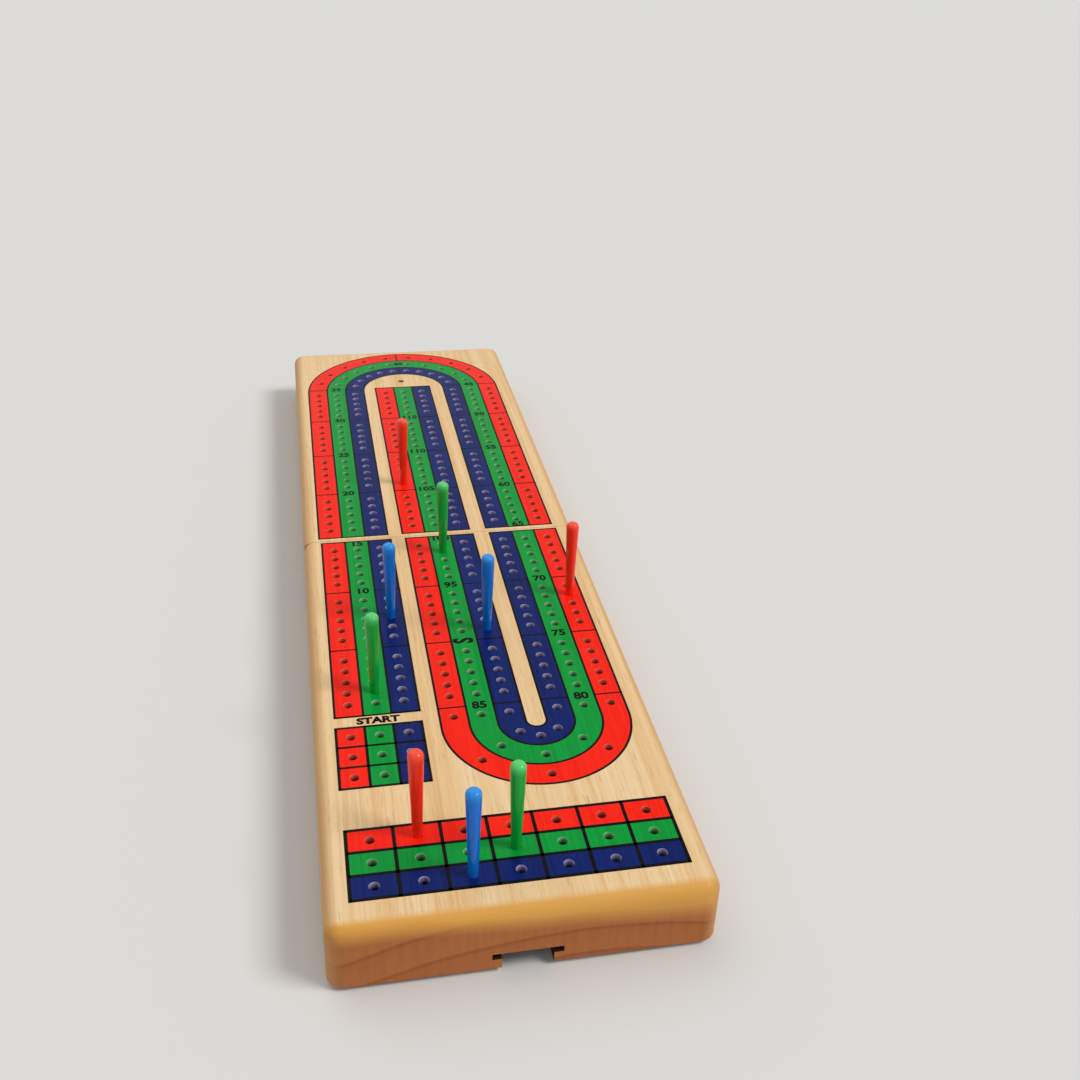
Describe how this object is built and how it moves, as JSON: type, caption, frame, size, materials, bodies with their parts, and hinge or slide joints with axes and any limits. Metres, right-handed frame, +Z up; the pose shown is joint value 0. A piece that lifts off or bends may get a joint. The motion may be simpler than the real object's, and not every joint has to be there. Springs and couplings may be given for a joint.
{
  "type": "folding cribbage board with peg drawer",
  "caption": "Folding wooden cribbage board: two hinged halves drilled with a three-lane peg track, a slide-out peg drawer in the near end, and tapered pegs standing in its holes.",
  "frame": {"origin": "middle of the open board's length and width, at the lowest point of the hinge knuckles under the seam", "axes": "+X across the board, +Y along it towards the far half, +Z up; the drawer is in the end at -Y"},
  "size_m": [0.1016, 0.374, 0.0497],
  "materials": {
    "board_wood": "satin lacquer over light close-grained hardwood",
    "hinge_brass": "plain stamped brass",
    "screw_brass": "plain turned brass",
    "pin_steel": "bright drawn wire",
    "magnet_nickel": "nickel plate",
    "drawer_plastic": "black, fine moulded texture",
    "peg_red": "glossy moulded",
    "peg_green": "glossy moulded",
    "peg_blue": "glossy moulded"
  },
  "bodies": {
    "near_board": {"near_half": "board_wood", "hinge_left_near_leaf": "hinge_brass", "hinge_right_near_leaf": "hinge_brass", "hinge_left_pin": "pin_steel", "hinge_right_pin": "pin_steel", "hinge_screws_near": "screw_brass", "near_magnets": "magnet_nickel"},
    "far_board": {"far_half": "board_wood", "hinge_left_far_leaf": "hinge_brass", "hinge_right_far_leaf": "hinge_brass", "hinge_screws_far": "screw_brass", "far_magnets": "magnet_nickel"},
    "drawer": {"peg_drawer": "drawer_plastic"},
    "peg_red_1_body": {"peg_red_1": "peg_red"},
    "peg_red_2_body": {"peg_red_2": "peg_red"},
    "peg_red_3_body": {"peg_red_3": "peg_red"},
    "peg_green_1_body": {"peg_green_1": "peg_green"},
    "peg_green_2_body": {"peg_green_2": "peg_green"},
    "peg_green_3_body": {"peg_green_3": "peg_green"},
    "peg_blue_1_body": {"peg_blue_1": "peg_blue"},
    "peg_blue_2_body": {"peg_blue_2": "peg_blue"},
    "peg_blue_3_body": {"peg_blue_3": "peg_blue"}
  },
  "joints": [
    {"name": "fold", "type": "hinge", "parent": "near_board", "child": "far_board", "pos_m": [0, 0, 0.001], "axis": [-1, 0, 0], "range_deg": [0, 180]},
    {"name": "drawer_slide", "type": "slide", "parent": "near_board", "child": "drawer", "axis": [0, -1, 0], "range_m": [0, 0.115]},
    {"name": "peg_red_1_lift", "type": "slide", "parent": "near_board", "child": "peg_red_1_body", "axis": [0, 0, 1], "range_m": [0, 0.014]},
    {"name": "peg_red_2_lift", "type": "slide", "parent": "far_board", "child": "peg_red_2_body", "axis": [0, 0, 1], "range_m": [0, 0.014]},
    {"name": "peg_red_3_lift", "type": "slide", "parent": "near_board", "child": "peg_red_3_body", "axis": [0, 0, 1], "range_m": [0, 0.014]},
    {"name": "peg_green_1_lift", "type": "slide", "parent": "near_board", "child": "peg_green_1_body", "axis": [0, 0, 1], "range_m": [0, 0.014]},
    {"name": "peg_green_2_lift", "type": "slide", "parent": "near_board", "child": "peg_green_2_body", "axis": [0, 0, 1], "range_m": [0, 0.014]},
    {"name": "peg_green_3_lift", "type": "slide", "parent": "near_board", "child": "peg_green_3_body", "axis": [0, 0, 1], "range_m": [0, 0.014]},
    {"name": "peg_blue_1_lift", "type": "slide", "parent": "near_board", "child": "peg_blue_1_body", "axis": [0, 0, 1], "range_m": [0, 0.014]},
    {"name": "peg_blue_2_lift", "type": "slide", "parent": "near_board", "child": "peg_blue_2_body", "axis": [0, 0, 1], "range_m": [0, 0.014]},
    {"name": "peg_blue_3_lift", "type": "slide", "parent": "near_board", "child": "peg_blue_3_body", "axis": [0, 0, 1], "range_m": [0, 0.014]}
  ]
}
